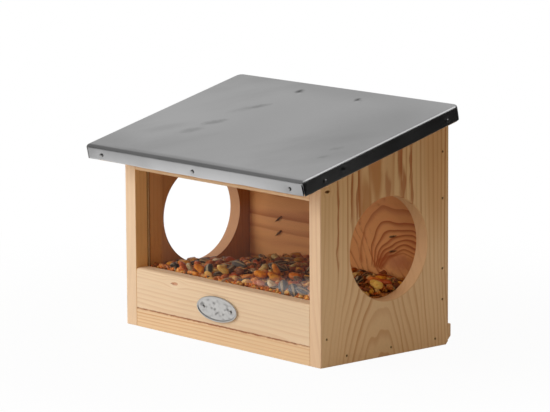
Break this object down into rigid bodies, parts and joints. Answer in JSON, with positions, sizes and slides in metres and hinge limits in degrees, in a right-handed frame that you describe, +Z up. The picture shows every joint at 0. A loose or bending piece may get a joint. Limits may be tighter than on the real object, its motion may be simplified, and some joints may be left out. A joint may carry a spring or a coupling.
{
  "type": "squirrel feeder box",
  "caption": "Pine squirrel feeder box with a round entrance in each side, a clear front pane, a zinc-covered hinged roof and a bed of feed.",
  "frame": {"origin": "middle of the underside of the box, between the side panels and halfway along their depth", "axes": "+X to the feeder's right as seen from the front, +Y towards the back (the wall side), +Z up"},
  "size_m": [0.2496, 0.17, 0.1819],
  "materials": {
    "pine": "bare planed pine, pale, fine straight grain",
    "side_pine": "bare planed pine, upright grain with reddish late-wood bands",
    "zinc_sheet": "satin zinc-coated sheet, faintly smudged",
    "nail_steel": "dull nail steel",
    "hinge_steel": "zinc-plated steel",
    "plate_metal": "stamped grey metal with a raised rim",
    "clear_pane": "clear acrylic sheet",
    "feed_mix": "dry maize, striped sunflower seed and small grain"
  },
  "bodies": {
    "box": {"side_panel_left": "side_pine", "side_panel_right": "side_pine", "floor_board": "pine", "back_wall": "pine", "front_sill": "pine", "front_board": "pine", "top_rail": "pine", "back_batten": "pine", "window_pane": "clear_pane", "name_plate": "plate_metal", "plate_pin_left": "plate_metal", "plate_pin_right": "plate_metal", "hanger_plate_left": "hinge_steel", "hanger_plate_right": "hinge_steel", "hanger_nail_left_1": "nail_steel", "hanger_nail_left_2": "nail_steel", "hanger_nail_right_1": "nail_steel", "hanger_nail_right_2": "nail_steel", "batten_nail_left": "nail_steel", "batten_nail_right": "nail_steel", "brad_left_rail": "nail_steel", "brad_left_front": "nail_steel", "brad_left_floor_1": "nail_steel", "brad_left_floor_2": "nail_steel", "brad_left_floor_3": "nail_steel", "brad_left_wall_1": "nail_steel", "brad_left_wall_2": "nail_steel", "brad_left_wall_3": "nail_steel", "brad_left_wall_4": "nail_steel", "brad_right_rail": "nail_steel", "brad_right_front": "nail_steel", "brad_right_floor_1": "nail_steel", "brad_right_floor_2": "nail_steel", "brad_right_floor_3": "nail_steel", "brad_right_wall_1": "nail_steel", "brad_right_wall_2": "nail_steel", "brad_right_wall_3": "nail_steel", "brad_right_wall_4": "nail_steel", "feed_bed": "feed_mix", "hinge_wall_leaf": "hinge_steel", "hinge_pin": "hinge_steel", "hinge_screw_wall_left": "hinge_steel", "hinge_screw_wall_right": "hinge_steel"},
    "lid": {"roof_board": "pine", "roof_sheet": "zinc_sheet", "hinge_roof_leaf": "hinge_steel", "hinge_screw_roof_left": "hinge_steel", "hinge_screw_roof_right": "hinge_steel", "sheet_nail_front_left": "nail_steel", "sheet_nail_front_middle": "nail_steel", "sheet_nail_front_right": "nail_steel", "sheet_nail_left_1": "nail_steel", "sheet_nail_left_2": "nail_steel", "sheet_nail_right_1": "nail_steel", "sheet_nail_right_2": "nail_steel", "sheet_nail_back_left": "nail_steel", "sheet_nail_back_right": "nail_steel"}
  },
  "joints": [
    {"name": "lid_hinge", "type": "hinge", "parent": "box", "child": "lid", "pos_m": [0, 0.06635, 0.16786], "axis": [-1, 0, 0], "range_deg": [0, 105]}
  ]
}
